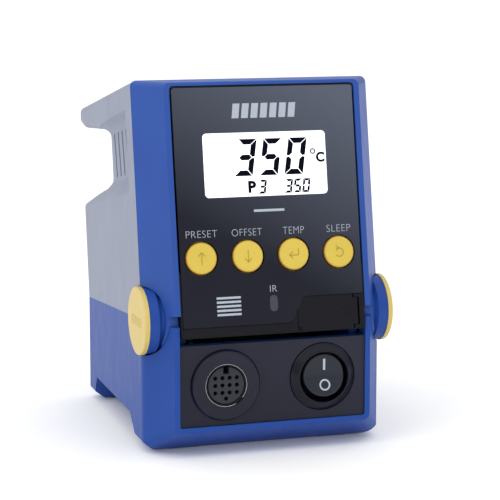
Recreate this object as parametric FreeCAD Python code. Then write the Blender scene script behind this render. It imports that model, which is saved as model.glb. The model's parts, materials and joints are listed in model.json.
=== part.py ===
import FreeCAD, Part
import os
from math import atan2, cos, degrees, radians, sin, sqrt, tan

# Soldering iron station: lower case, top cover with handle, tilting display head.
# Millimetres. X to the right, Y to the back, Z up; the feet stand on Z = 0.
# While modelling, Y = 0 is the front face of the lower case. At the end every
# piece moves forward by half of the depth, so that the origin is bottom centre.

V = FreeCAD.Vector

# ---------------------------------------------------------------- driving sizes
WALL = 2.4                      # moulded wall thickness
GAP = 0.3                       # clearance between neighbours on different bodies

# plan of the case: narrow front face, full width behind it, slight rear taper
FRONT_HALF = 37.4
WIDE_HALF = 45.9
WIDE_Y = 13.9
REAR_HALF = 42.4
CASE_DEPTH = 112.0
OVER_DEPTH = 127.0              # plan outline runs past the handle tip

# lower case
PAD_T = 0.6                     # rubber pads stand this far below the case
FRONT_EDGE_Z = 9.7              # lower edge of the front face
FOOT_FRONT_Y = 15.5
FOOT_FRONT_END = 22.4
FOOT_REAR_Y = 102.4
ARCH_Z = 10.9
ARCH_FRONT_Y = 34.5
ARCH_REAR_Y = 95.4
POST_Z = 48.6                   # top of the two front posts
SEAM_Y, SEAM_Z = 21.5, 49.1     # joint line between lower case and top cover
SEAM_SLOPE = 4.79

# tilting head
PIVOT_Y, PIVOT_Z = 14.9, 49.15
LEAN = 9.86                     # backward lean of the head and of the cover lines
HEAD_V = -15.66                 # front plane of the head, measured from the pivot
BAND_V = -1.29                  # back edge of the blue surround
HEAD_TOP_FRONT, HEAD_TOP_BACK = 84.4, 86.9
HEAD_CORNER = 2.4               # outer corner radius of the surround
HEAD_HALF_FRONT, HEAD_HALF_BACK = 37.2, 45.7
PANEL_HALF, PANEL_TOP, PANEL_BOTTOM = 34.37, 82.33, -6.95
PANEL_T = 2.3

# side knobs
CAP_OUT, CAP_T, CAP_R = 47.5, 1.8, 12.45
KNOB_R, KNOB_NECK_R = 12.1, 10.8
KNOB_STEP_X = 42.0              # here the body narrows towards the case
HOLE_R, HOLE_NECK_R, HOLE_STEP_X = 12.5, 11.2, 40.9
EAR_R, CASE_HOLE_R = 12.4, 12.7
BUSH_R, BUSH_BORE_R, STEM_R = 5.0, 2.95, 2.9
BRACKET_IN, BRACKET_OUT = 31.6, 34.6
CHEEK_IN, CHEEK_OUT = 28.5, 31.0

# front panel features, in head coordinates (x, u)
BUTTON_X0, BUTTON_PITCH, BUTTON_U, BUTTON_R = -26.5, 17.47, 21.18, 5.8
BUTTON_TRAVEL = 0.8
LCD_X, LCD_HALF, LCD_LOW, LCD_HIGH = -0.33, 23.45, 42.6, 65.9
IR_LOW, IR_HIGH, IR_HALF = 0.8, 6.8, 1.55
STEP_LOW, STEP_HIGH = -3.6, 5.7
STEP_X0, STEP_X1 = 6.6, 11.4
FLAP_X0, FLAP_X1, FLAP_T = 9.0, 32.6, 1.8
FLAP_PIN_R, FLAP_HOLE_R = 0.3, 0.6
USB_X, USB_U, USB_W, USB_H = 17.2, -1.2, 14.2, 6.8

# lower front panel
LOW_HALF, LOW_TOP, LOW_BOTTOM = 35.5, 41.5, 11.7
LOW_RECESS = 0.75
LOW_T = 1.4
SWITCH_X, SWITCH_Z = 18.9, 27.2
BEZEL_R, SWITCH_OPEN_R, ROCKER_R = 12.35, 9.35, 7.85
ROCKER_REST = 7.5               # the rocker stands this far to the ON side
SOCKET_X, SOCKET_Z = -18.3, 26.5
COLLAR_R, COLLAR_BORE = 12.75, 8.0
SNAP_R = 7.8
INSERT_R, PIN_PITCH = 6.75, 2.72

# top cover, in head coordinates (v back, u up)
COVER_V = -1.0
COVER_TOP = 86.9
TIP_V = 98.1
GAP_V = 54.7                    # bottom of the finger gap under the handle
RECESS_V = 10.0                 # front end of the side recess
VENT_V0, VENT_PITCH, VENT_COUNT = 19.4, 6.9, 5
VENT_W, VENT_LOW, VENT_HIGH = 1.8, 54.6, 71.8

# inside
FLOOR_Z = ARCH_Z + WALL
CORE_X, CORE_Z = -10.5, 38.5
CORE_W, CORE_H, CORE_Y0, CORE_Y1 = 48.0, 45.0, 59.0, 91.0
BOARD_Y, BOARD_T = 49.0, 1.6
INLET_X, INLET_Z, INLET_W, INLET_H = 19.0, 25.6, 27.2, 19.8


# ---------------------------------------------------------------- small helpers
def box(x0, x1, y0, y1, z0, z1):
    return Part.makeBox(x1 - x0, y1 - y0, z1 - z0, V(x0, y0, z0))


def cyl(radius, start, end):
    axis = end.sub(start)
    return Part.makeCylinder(radius, axis.Length, start, axis)


def tube(outer, inner, start, end):
    return cyl(outer, start, end).cut(cyl(inner, start, end))


def cone(r0, r1, start, end):
    axis = end.sub(start)
    return Part.makeCone(r0, r1, axis.Length, start, axis)


def union(shapes):
    result = shapes[0]
    for shape in shapes[1:]:
        result = result.fuse(shape)
    return result.removeSplitter()


def minus(shape, cutters):
    for cutter in cutters:
        shape = shape.cut(cutter)
    return shape


def mirror(shape):
    return shape.mirror(V(0, 0, 0), V(1, 0, 0))


def both(shape):
    return [shape, mirror(shape)]


def outline(corners, place):
    """Closed wire through corners (a, b, radius); place maps (a, b) to a vector."""
    edges = []
    joints = []
    count = len(corners)
    for i in range(count):
        a, b, radius = corners[i]
        before = corners[i - 1]
        after = corners[(i + 1) % count]
        d1 = (before[0] - a, before[1] - b)
        d2 = (after[0] - a, after[1] - b)
        l1 = sqrt(d1[0] ** 2 + d1[1] ** 2)
        l2 = sqrt(d2[0] ** 2 + d2[1] ** 2)
        e1 = (d1[0] / l1, d1[1] / l1)
        e2 = (d2[0] / l2, d2[1] / l2)
        if radius == 0:
            joints.append(((a, b), None, (a, b)))
            continue
        half = atan2(abs(e1[0] * e2[1] - e1[1] * e2[0]), e1[0] * e2[0] + e1[1] * e2[1]) / 2
        reach = radius / tan(half)
        bis = (e1[0] + e2[0], e1[1] + e2[1])
        length = sqrt(bis[0] ** 2 + bis[1] ** 2)
        away = radius / sin(half) - radius
        mid = (a + bis[0] / length * away, b + bis[1] / length * away)
        joints.append(((a + e1[0] * reach, b + e1[1] * reach), mid, (a + e2[0] * reach, b + e2[1] * reach)))
    for i in range(count):
        start, mid, end = joints[i]
        if mid:
            edges.append(Part.Arc(place(*start), place(*mid), place(*end)).toShape())
        following = joints[(i + 1) % count][0]
        if place(*end).distanceToPoint(place(*following)) > 1e-6:
            edges.append(Part.LineSegment(place(*end), place(*following)).toShape())
    return Part.Wire(edges)


def slab(corners, place, thickness):
    """Solid from an outline, pushed by the vector thickness."""
    return Part.Face(outline(corners, place)).extrude(thickness)


def loft(corners0, place0, corners1, place1):
    return Part.makeLoft([outline(corners0, place0), outline(corners1, place1)], True, True)


def in_plan(z):
    return lambda a, b: V(a, b, z)


def in_side(x):
    return lambda a, b: V(x, a, b)


def in_front(y):
    return lambda a, b: V(a, y, b)


def rect(a0, a1, b0, b1, radius):
    return [(a0, b0, radius), (a1, b0, radius), (a1, b1, radius), (a0, b1, radius)]


def lean(shape, turn=0.0):
    """Take a piece from head coordinates (x, v, u) to the case frame."""
    shape = shape.copy()
    shape.rotate(V(0, 0, 0), V(1, 0, 0), turn - LEAN)
    shape.translate(V(0, PIVOT_Y, PIVOT_Z))
    return shape


def leaned(v, u):
    """A point (v, u) of the head's side view, as (y, z) of the case frame."""
    a = radians(LEAN)
    return PIVOT_Y + v * cos(a) + u * sin(a), PIVOT_Z - v * sin(a) + u * cos(a)


def leaned_corners(corners):
    return [leaned(v, u) + (radius,) for v, u, radius in corners]


def plan(inset, z0, z1, radius, back=OVER_DEPTH, back_radius=0):
    """The case's plan outline as a prism, inset from the side walls."""
    far = half_width(back) - inset
    corners = [(-FRONT_HALF + inset, inset, 0), (FRONT_HALF - inset, inset, 0),
               (WIDE_HALF - inset, WIDE_Y, radius), (far, back, back_radius),
               (-far, back, back_radius), (-WIDE_HALF + inset, WIDE_Y, radius)]
    return slab(corners, in_plan(z0), V(0, 0, z1 - z0))


def half_width(y):
    """Half width of the side walls behind the front corners."""
    return WIDE_HALF - (WIDE_HALF - REAR_HALF) * (y - WIDE_Y) / (CASE_DEPTH - WIDE_Y)


def seam_z(y):
    return SEAM_Z - tan(radians(SEAM_SLOPE)) * (y - SEAM_Y)


def pivot(x):
    return V(x, PIVOT_Y, PIVOT_Z)


def pivot_cyl(radius, x0, x1):
    return cyl(radius, pivot(x0), pivot(x1))


def fillet_where(shape, radius, test):
    edges = [edge for edge in shape.Edges if test(edge)]
    return shape.makeFillet(radius, edges)


def is_sharp(shape, edge):
    """True where the two faces at an edge meet at an angle."""
    faces = shape.ancestorsOfType(edge, Part.Face)
    if len(faces) != 2:
        return False
    point = edge.valueAt((edge.FirstParameter + edge.LastParameter) / 2)
    normals = [face.normalAt(*face.Surface.parameter(point)) for face in faces]
    return normals[0].dot(normals[1]) < 0.98


# ---------------------------------------------------------------- lower case
def bottom_section(x, z, width, height):
    """Section of the cutter that chamfers the bottom edge of a side wall."""
    return [(x + 3, z - 3, 0), (x + 3, z + 9, 0), (x + 0.01, z + 9, 0), (x + 0.01, z + height, 1.0),
            (x - width, z - 0.01, 3.0), (x - 9, z - 0.01, 0), (x - 9, z - 3, 0)]


def round_section(x, z, radius):
    """Section of the cutter that rounds a front corner of the underside."""
    return [(x + 12, z - 12, 0), (x + 12, z + 9, 0), (x + 0.01, z + 9, 0), (x + 0.01, z - 0.01, radius),
            (x - 9, z - 0.01, 0), (x - 9, z - 12, 0)]


def make_lower_case():
    zp = PAD_T
    rear = CASE_DEPTH
    side = [(0, FRONT_EDGE_Z, 1.0), (FOOT_FRONT_Y, zp, 0.8), (FOOT_FRONT_END, zp, 0.8),
            (ARCH_FRONT_Y, ARCH_Z, 1.0), (ARCH_REAR_Y, ARCH_Z, 1.0), (FOOT_REAR_Y, zp, 0.8),
            (rear - 2.0, zp, 0.6), (rear, 4.6, 1.0), (rear, seam_z(rear), 0),
            (PIVOT_Y, seam_z(PIVOT_Y), 0), (PIVOT_Y, POST_Z, 0), (0, POST_Z, 0.5)]
    outer = slab(side, in_side(-60), V(120, 0, 0)).common(plan(0, -1, 60, 5.0, rear, 3.0))
    # the side walls meet the bottom in a chamfer with soft edges, and the front
    # corners run into the sloping underside in a rounding that grows to the back
    side_cut = loft(bottom_section(half_width(10), zp, 4.6, 3.7), in_front(10),
                    bottom_section(half_width(rear + 1), zp, 4.6, 3.7), in_front(rear + 1))
    rise = (FRONT_EDGE_Z - zp) / FOOT_FRONT_Y
    spread = (WIDE_HALF - FRONT_HALF) / WIDE_Y
    front_cut = loft(round_section(FRONT_HALF - 2 * spread, FRONT_EDGE_Z + 2 * rise, 2.6), in_front(-2),
                     round_section(FRONT_HALF + 16 * spread, FRONT_EDGE_Z - 16 * rise, 3.2), in_front(16))
    outer = minus(outer, both(side_cut) + both(front_cut))

    inner_side = [(4.4, FLOOR_Z, 0), (rear - WALL, FLOOR_Z, 0), (rear - WALL, 60, 0), (4.4, 60, 0)]
    cavity = slab(inner_side, in_side(-60), V(120, 0, 0)).common(plan(WALL, 0, 61, 3.0))
    front_hollow = slab([(6.8, FLOOR_Z + 1, 0), (6.8, 9.2, 0), (17.0, 3.4, 0), (21.4, 3.4, 0),
                         (31.8, FLOOR_Z + 1, 0)], in_side(-36), V(72, 0, 0))
    rear_hollow = slab([(97.6, FLOOR_Z + 1, 0), (103.8, 3.4, 0), (rear - WALL, 4.6, 0),
                        (rear - WALL, FLOOR_Z + 1, 0)], in_side(-36), V(72, 0, 0))
    # recess for the front panel, open at the top between the posts
    panel_pocket = slab(rect(-LOW_HALF, LOW_HALF, LOW_BOTTOM - 0.15, 70, 1.0), in_front(-1), V(0, 3.2, 0))
    above_wall = box(-LOW_HALF, LOW_HALF, -1, 8, LOW_TOP + 0.1, 60)
    knob_hole = pivot_cyl(CASE_HOLE_R, 34.8, 60)
    body = minus(outer, [cavity, front_hollow, rear_hollow, panel_pocket, above_wall] + both(knob_hole))

    # brackets that carry the pivot bushes
    foot = 8.0
    tower = slab([(PIVOT_Y - foot, 10, 0), (PIVOT_Y + foot, 10, 0), (PIVOT_Y + foot, PIVOT_Z, 0),
                  (PIVOT_Y + foot, PIVOT_Z + foot, 7.9), (PIVOT_Y - foot, PIVOT_Z + foot, 7.9)],
                 in_side(BRACKET_IN), V(BRACKET_OUT - BRACKET_IN, 0, 0))
    web = box(BRACKET_IN, 44.5, PIVOT_Y - 1.2, PIVOT_Y + 1.2, 12, PIVOT_Z - CASE_HOLE_R - 1.5)
    web = web.common(plan(WALL / 2, 0, 60, 0))
    posts = [cyl(4.0, V(sx * x, y, FLOOR_Z - 1), V(sx * x, y, seam_z(y) - 3.0))
             for sx in (-1, 1) for x, y in SCREW_POSTS]
    body = union([body] + both(tower) + both(web) + posts)
    holes = [pivot_cyl(BUSH_R, -60, 60)]
    for sx in (-1, 1):
        for x, y in SCREW_POSTS:
            holes.append(cyl(1.7, V(sx * x, y, -1), V(sx * x, y, 60)))
            holes.append(cyl(3.2, V(sx * x, y, -1), V(sx * x, y, FLOOR_Z + 6)))
    holes.append(cyl(10.9, V(SWITCH_X, -2, SWITCH_Z), V(SWITCH_X, 8, SWITCH_Z)))
    holes.append(cyl(11.2, V(SOCKET_X, -2, SOCKET_Z), V(SOCKET_X, 8, SOCKET_Z)))
    holes.append(inlet_block(0.2, CASE_DEPTH - 6, CASE_DEPTH + 3))
    holes += foot_pads(0.1)
    return minus(body, holes)


SCREW_POSTS = [(37.0, 40.0), (36.7, 96.2)]


def inlet_block(grow, y0, y1):
    w = INLET_W / 2 + grow
    h = INLET_H / 2 + grow
    return slab(rect(INLET_X - w, INLET_X + w, INLET_Z - h, INLET_Z + h, 1.5), in_front(y0), V(0, y1 - y0, 0))


def foot_pads(grow):
    pads = []
    for sx in (-1, 1):
        for y in (FOOT_FRONT_END - 2.8, (FOOT_REAR_Y + CASE_DEPTH - 2) / 2):
            corners = rect(sx * 29 - 7 - grow, sx * 29 + 7 + grow, y - 2.1 - grow, y + 2.1 + grow, 2.0)
            pads.append(slab(corners, in_plan(0), V(0, 0, PAD_T + 1.2)))
    return pads


# ---------------------------------------------------------------- top cover
def cover_side(inset):
    """Side view of the cover in head coordinates; inset is the wall for the inner form."""
    if inset == 0:
        low = -2.0
        return [(COVER_V, low, 0), (COVER_V, COVER_TOP, 0), (TIP_V - 1.2, COVER_TOP - 0.5, 0),
                (TIP_V, 80.6, 0), (90.0, 77.6, 6.0), (GAP_V + 0.2, 74.0, 5.0),
                (GAP_V, 51.2, 5.0), (TIP_V - 1.3, 47.4, 0), (TIP_V - 1.1, low, 0)]
    back = GAP_V - inset
    return [(-6, -12, 0), (-6, COVER_TOP - inset, 0), (TIP_V - 6.0, COVER_TOP - inset - 0.4, 0),
            (TIP_V - 6.0, 82.0, 0), (88.4, 80.6, 2.0), (back, 76.7, 2.0), (back, 48.7, 3.0),
            (TIP_V - 1.3 - inset, 45.2, 3.0), (TIP_V - 1.1 - inset, -12, 0)]


# section of the recess: (depth, drop of the lower lip, rise of the upper lip)
RECESS_STEPS = [(4.0, 0.0, 0.0), (3.8, 0.7, 0.8), (3.4, 1.4, 1.6), (2.8, 2.2, 2.3), (2.1, 3.1, 2.9),
                (1.5, 4.0, 3.3), (0.95, 5.0, 3.7), (0.5, 6.0, 4.0), (0.2, 6.9, 4.2), (0.0, 7.8, 4.3),
                (-6.0, 7.9, 4.4)]


def recess_block(extra):
    """Side recess with the vents; its lower lip runs on along the shoulder to the back."""
    rings = []
    for off, drop, rise in RECESS_STEPS:
        off += extra
        corners = [(RECESS_V - extra, 53.8 - drop - extra), (RECESS_V - extra, 72.8 + rise + extra),
                   (36.0, 72.6 + rise + extra), (GAP_V + 6, 71.4 + rise + extra),
                   (GAP_V + 7, 62.0), (TIP_V + 8, 60.0), (TIP_V + 8, 53.8 - drop - extra)]
        points = []
        for v, u in corners:
            y, z = leaned(v, u)
            points.append(V(half_width(y) - off, y, z))
        rings.append(Part.makePolygon(points + [points[0]]))
    return Part.makeLoft(rings, True, True)


def make_top_cover():
    outer = slab(leaned_corners(cover_side(0)), in_side(-60), V(120, 0, 0)).common(plan(0, -1, 150, 5.0))
    outer = outer.Solids[0]

    def upright(edge):
        ends = [vertex.Point for vertex in edge.Vertexes]
        run = ends[-1].sub(ends[0])
        return all(p.y > 100 for p in ends) and abs(run.x) < 1.5 and abs(run.z) > 3 * abs(run.y)

    def rim(edge):
        bounds = edge.BoundBox
        behind = bounds.YMax > 60 or bounds.ZMax > 100
        across = bounds.YMin < 30 and bounds.XLength > 60
        front = all(vertex.Point.y < 30 for vertex in edge.Vertexes)
        return behind and bounds.ZMax > 48.5 and not across and not front and is_sharp(outer, edge)

    outer = fillet_where(outer, 3.0, upright)
    outer = fillet_where(outer, 2.3, rim)
    below_seam = slab([(-5, 30, 0), (130, 30, 0), (130, seam_z(130), 0), (-5, seam_z(-5), 0)],
                      in_side(-60), V(120, 0, 0))
    recess = recess_block(0)
    inner = slab(leaned_corners(cover_side(WALL)), in_side(-60), V(120, 0, 0))
    inner = inner.common(plan(WALL, 20, 150, 3.0))
    inner = minus(inner, both(recess_block(WALL)))
    body = minus(outer, both(recess) + [inner, below_seam])

    # frame inside the front edge, round the opening for the head
    flange_top = COVER_TOP - WALL + 0.5
    flange_side = [(0.4, 8.0, 0), (2.6, 8.0, 0), (2.6, flange_top, 0), (0.4, flange_top, 0)]
    flange = slab(leaned_corners(flange_side), in_side(38.4), V(10, 0, 0))
    flange = flange.common(plan(WALL - 0.5, 20, 150, 3.0))
    posts = []
    for x, y in SCREW_POSTS:
        top = 62 if y < 60 else 72
        posts.append(cyl(3.6, V(x, y, seam_z(y) - 3.0), V(x, y, top)))
        posts.append(box(x, half_width(y) - 1, y - 1.2, y + 1.2, seam_z(y) + 0.5, top))
    body = union([body] + both(flange) + both(union(posts)))
    holes = both(pivot_cyl(CASE_HOLE_R, 34.8, 60))
    for sx in (-1, 1):
        for x, y in SCREW_POSTS:
            holes.append(cyl(1.3, V(sx * x, y, 30), V(sx * x, y, seam_z(y) + 7)))
    for i in range(VENT_COUNT):
        v = VENT_V0 + i * VENT_PITCH
        slot = slab([(v - VENT_W / 2, VENT_LOW, 0.7), (v + VENT_W / 2, VENT_LOW, 0.7),
                     (v + VENT_W / 2 + 2.0, VENT_HIGH, 0.7), (v - VENT_W / 2 + 2.0, VENT_HIGH, 0.7)],
                    in_side(34), V(16, 0, 0))
        holes += both(lean(slot))
    return minus(body, holes)


# ---------------------------------------------------------------- head
def surround(inset, low, v0, v1):
    """Tapered body of the blue surround between two planes of the head."""
    def ring(v):
        t = (v - HEAD_V) / (BAND_V - HEAD_V)
        half = HEAD_HALF_FRONT + (HEAD_HALF_BACK - HEAD_HALF_FRONT) * t - inset
        top = HEAD_TOP_FRONT + (HEAD_TOP_BACK - HEAD_TOP_FRONT) * t - inset
        return [(-half, low, 0), (half, low, 0), (half, top, HEAD_CORNER - inset / 2),
                (-half, top, HEAD_CORNER - inset / 2)]
    return loft(ring(v0), in_front(v0), ring(v1), in_front(v1))


def make_display_frame():
    full = surround(0, -20, HEAD_V, BAND_V)
    above = box(-60, 60, -30, 5, 0.9, 100)
    ear = cyl(EAR_R, V(35.35, 0, 0), V(60, 0, 0))
    shell = full.common(above)
    shell = fillet_where(shell, 0.5, lambda e: e.BoundBox.YMax < HEAD_V + 0.01 and e.BoundBox.ZMax > 2)
    mouth = slab(rect(-35.16, 35.16, -40, 83.1, 1.5), in_front(-20), V(0, 10, 0))
    inside = surround(2.0, -40, -13.3, BAND_V + 1)
    shell = minus(shell, [mouth, inside])
    ring = minus(ear.common(full), [mouth])
    shell = union([shell] + both(ring))
    hole = union([cyl(HOLE_NECK_R, V(35, 0, 0), V(60, 0, 0)), cyl(HOLE_R, V(HOLE_STEP_X, 0, 0), V(60, 0, 0)),
                  cone(HOLE_NECK_R, HOLE_R, V(HOLE_STEP_X - 1.3, 0, 0), V(HOLE_STEP_X, 0, 0))])
    return minus(shell, both(hole))


def wedge_side(inset):
    top = 83.0 - inset
    arc = lambda v: sqrt(top ** 2 - v ** 2)
    front = -10.8 if inset == 0 else -20
    low = -7.3 + inset
    back = 16.0 - inset
    return [(front, low, 0), (2.4 - inset, low, 0), (2.4 - inset, 10, 0), (back, arc(back), 0.8),
            (8.0, arc(8.0), 0), (0.0, arc(0.0), 0), (front, arc(10.8), 0)]


def make_display_housing():
    tray = slab(rect(-34.98, 34.98, -7.3, 82.9, 1.2), in_front(-15.25), V(0, 5.0, 0))
    wedge = slab(wedge_side(0), in_side(-37.3), V(74.6, 0, 0))
    wedge = wedge.common(slab(rect(-37.3, 37.3, -40, 83.2, 3.0), in_front(-20), V(0, 60, 0)))
    body = union([tray, wedge])
    pocket = slab(rect(-34.45, 34.45, -7.0, 82.4, 0.4), in_front(-16), V(0, 5.6, 0))
    hollow = slab(wedge_side(2.0), in_side(-CHEEK_IN), V(2 * CHEEK_IN, 0, 0))
    upper = slab(wedge_side(2.0), in_side(-35.3), V(70.6, 0, 0)).common(box(-40, 40, -20, 30, 16.5, 100))
    room = cyl(14.0, V(CHEEK_OUT, 0, 0), V(60, 0, 0)).common(box(0, 60, -10.9, 30, -20, 20))
    bore = cyl(BUSH_R + 0.05, V(-40, 0, 0), V(40, 0, 0))
    bosses = []
    for x, u in BOARD_SCREWS:
        wall = 1.0 + max(0.0, (u - 10.0) * 0.19)
        bosses.append(tube(2.4, 1.02, V(x, -6.28, u), V(x, wall, u)))
    body = minus(body, [pocket, hollow, upper] + both(room) + [bore])
    return union([body] + bosses)


BOARD_SCREWS = [(-26.0, 8.0), (26.0, 8.0), (-26.0, 74.0), (26.0, 74.0)]


def step_corners(gap):
    """The S-shaped step between the front panel and the lower trim, left to right."""
    return [(STEP_X0, STEP_LOW + gap, 3.0), (STEP_X1, STEP_HIGH + gap, 3.0)]


def make_front_panel():
    corners = [(-PANEL_HALF, STEP_LOW, 0.5)] + step_corners(0)
    corners += [(PANEL_HALF, STEP_HIGH, 0.5), (PANEL_HALF, PANEL_TOP, 1.0), (-PANEL_HALF, PANEL_TOP, 1.0)]
    plate = slab(corners, in_front(HEAD_V), V(0, PANEL_T, 0))
    display = rect(LCD_X - LCD_HALF, LCD_X + LCD_HALF, LCD_LOW, LCD_HIGH, 1.6)
    cuts = [slab(display, in_front(-20), V(0, 10, 0)),
            slab(rect(-IR_HALF, IR_HALF, IR_LOW, IR_HIGH, 1.5), in_front(-20), V(0, 10, 0))]
    for i in range(4):
        x = BUTTON_X0 + i * BUTTON_PITCH
        cuts.append(cyl(BUTTON_R + 0.5, V(x, -20, BUTTON_U), V(x, -5, BUTTON_U)))
    return minus(plate, cuts)


FLAP_AXIS = (FLAP_X1 - FLAP_T / 2, HEAD_V + 0.2 + FLAP_T / 2)      # hinge line (x, v)


def flap_cyl(radius, low, high):
    return cyl(radius, V(*FLAP_AXIS, low), V(*FLAP_AXIS, high))


def make_lower_trim():
    gap = 0.18
    plate = slab([(-PANEL_HALF, PANEL_BOTTOM, 0.5), (PANEL_HALF, PANEL_BOTTOM, 0.5),
                  (PANEL_HALF, STEP_HIGH - gap, 0)] + step_corners(-gap)[::-1] +
                 [(-PANEL_HALF, STEP_LOW - gap, 0)], in_front(HEAD_V + 0.25), V(0, 2.8, 0))
    flap_room = box(FLAP_X0 - 0.2, FLAP_X1 + 0.3, HEAD_V - 1, HEAD_V + 2.3, -20, 20)
    port = box(USB_X - USB_W / 2 - 0.2, USB_X + USB_W / 2 + 0.2, -20, 0, USB_U - USB_H / 2 - 0.2,
               USB_U + USB_H / 2 + 0.2)
    # two lugs hold the pin ends of the cover
    x0, x1 = FLAP_AXIS[0] - 0.85, FLAP_X1 + 0.35
    lugs = [box(x0, x1, HEAD_V + 0.25, HEAD_V + 2.4, low, low + 1.2)
            for low in (PANEL_BOTTOM, STEP_HIGH - gap - 1.2)]
    return union([minus(plate, [flap_room, port])] + lugs).cut(flap_cyl(FLAP_HOLE_R, -20, 20))


def make_usb_cover():
    gap = 0.18
    low, high = PANEL_BOTTOM, STEP_HIGH - gap
    front = HEAD_V + 0.2
    plate = slab([(STEP_X0 - 5, low, 0), (FLAP_AXIS[0], low, 0), (FLAP_AXIS[0], high, 0)] +
                 step_corners(-gap)[::-1] + [(STEP_X0 - 5, STEP_LOW - gap, 0)],
                 in_front(front), V(0, FLAP_T, 0))
    plate = plate.common(box(FLAP_X0, 60, -30, 0, -20, 20))
    plate = union([plate, flap_cyl(FLAP_T / 2, low, high)])
    notches = [box(FLAP_AXIS[0] - 1.35, 60, -30, 0, z0, z1)
               for z0, z1 in ((low - 1, low + 1.4), (high - 1.4, 20))]
    grip = cyl(0.9, V(FLAP_X0 + 0.4, HEAD_V, low - 1), V(FLAP_X0 + 0.4, HEAD_V, low + 1.5))
    plate = minus(plate, notches + [grip])
    return union([plate, flap_cyl(FLAP_PIN_R, low + 0.2, high - 0.2)])


def make_button(index):
    x = BUTTON_X0 + index * BUTTON_PITCH
    at = lambda v: V(x, v, BUTTON_U)
    front = HEAD_V - 0.7
    body = cyl(BUTTON_R, at(front), at(-12.3))
    body = fillet_where(body, 0.9, lambda e: e.BoundBox.YMax < front + 0.01)
    return body.fuse(cyl(BUTTON_R + 1.1, at(HEAD_V + PANEL_T + 0.05), at(-12.3))).removeSplitter()


def make_button_switches():
    pieces = []
    for i in range(4):
        x = BUTTON_X0 + i * BUTTON_PITCH
        case = box(x - 3, x + 3, -10.9, -7.9, BUTTON_U - 3, BUTTON_U + 3)
        pieces.append(case.fuse(cyl(1.7, V(x, -11.45, BUTTON_U), V(x, -10.8, BUTTON_U))).removeSplitter())
    return Part.makeCompound(pieces)


def make_lcd_window():
    clear = 0.1
    half = LCD_HALF - clear
    corners = rect(LCD_X - half, LCD_X + half, LCD_LOW + clear, LCD_HIGH - clear, 1.5)
    return slab(corners, in_front(HEAD_V + 0.3), V(0, 1.2, 0))


def make_lcd_module():
    glass = box(LCD_X - 25.5, LCD_X + 25.5, -13.1, -10.6, 40.3, 68.2)
    frame = box(LCD_X - 27, LCD_X + 27, -10.6, -7.95, 38.8, 69.7)
    return glass.fuse(frame).removeSplitter()


def make_display_board():
    board = box(-28.2, 28.2, -7.9, -6.3, -4.8, 80.0)
    port = box(USB_X - USB_W / 2 - 0.6, 40, -10, 0, -20, USB_U + USB_H / 2 + 0.6)
    holes = [cyl(1.15, V(x, -10, u), V(x, 0, u)) for x, u in BOARD_SCREWS]
    return minus(board, [port] + holes)


def make_board_screws():
    screws = []
    for x, u in BOARD_SCREWS:
        screws.append(cyl(1.0, V(x, -8, u), V(x, -1.5, u)).fuse(cyl(2.2, V(x, -9.2, u), V(x, -7.92, u))))
    return Part.makeCompound([screw.removeSplitter() for screw in screws])


def make_board_parts():
    """Controller, regulator and passive parts on the back of the display board."""
    parts = [box(-9, 9, -6.28, -4.8, 44, 58), box(-22, -16, -6.28, -4.4, 30, 38),
             cyl(3.0, V(20, -6.28, 33), V(20, 0.6, 33)), cyl(3.0, V(12, -6.28, 33), V(12, 0.6, 33))]
    parts += [box(-20 + 5 * i, -17 + 5 * i, -6.28, -5.3, 64, 66) for i in range(8)]
    parts.append(box(-14, 6, -6.28, -1.8, 12, 17))
    return Part.makeCompound(parts)


def make_buzzer():
    return tube(5.6, 1.0, V(20.5, -6.28, 54), V(20.5, -1.2, 54))


def make_ir_window():
    return slab(rect(-IR_HALF + 0.05, IR_HALF - 0.05, IR_LOW + 0.05, IR_HIGH - 0.05, 1.4),
                in_front(HEAD_V + 0.1), V(0, 2.0, 0))


def make_ir_receiver():
    body = box(-2.8, 2.8, -11.8, -7.92, 0.4, 7.2)
    return body.fuse(Part.makeSphere(2.0, V(0, -11.4, 3.8))).removeSplitter()


def make_usb_port():
    w = USB_W / 2 - 0.1
    h = USB_H / 2 - 0.1
    shell = box(USB_X - w, USB_X + w, -13.6, -0.2, USB_U - h, USB_U + h)
    mouth = box(USB_X - w + 0.4, USB_X + w - 0.4, -14, -2, USB_U - h + 0.4, USB_U + h - 0.4)
    tongue = box(USB_X - w + 1.2, USB_X + w - 1.2, -12.8, -1.9, USB_U + 0.3, USB_U + 2.2)
    return minus(shell, [mouth]).fuse(tongue).removeSplitter()


# ---------------------------------------------------------------- side knobs
def make_knob():
    cup = union([cyl(KNOB_R, V(KNOB_STEP_X, 0, 0), V(CAP_OUT - CAP_T, 0, 0)),
                 cone(KNOB_NECK_R, KNOB_R, V(KNOB_STEP_X - 1.3, 0, 0), V(KNOB_STEP_X, 0, 0)),
                 cyl(KNOB_NECK_R, V(36.6, 0, 0), V(KNOB_STEP_X - 1.2, 0, 0))])
    cup = cup.cut(cyl(9.2, V(36, 0, 0), V(43.5, 0, 0)))
    stem = cyl(STEM_R, V(25.4, 0, 0), V(44, 0, 0))
    return union([cup, stem])


def make_cap():
    disc = cyl(CAP_R, V(CAP_OUT - CAP_T, 0, 0), V(CAP_OUT, 0, 0))
    disc = fillet_where(disc, 0.5, lambda e: e.BoundBox.XMin > CAP_OUT - 0.01)
    return disc


def make_clip():
    ring = tube(4.6, STEM_R, V(26.4, 0, 0), V(27.1, 0, 0))
    return ring


def make_bush():
    body = tube(BUSH_R, BUSH_BORE_R, V(27.6, 0, 0), V(BRACKET_OUT, 0, 0))
    flange = tube(6.6, BUSH_BORE_R, V(BRACKET_OUT, 0, 0), V(BRACKET_OUT + 0.8, 0, 0))
    return body.fuse(flange).removeSplitter()


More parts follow.
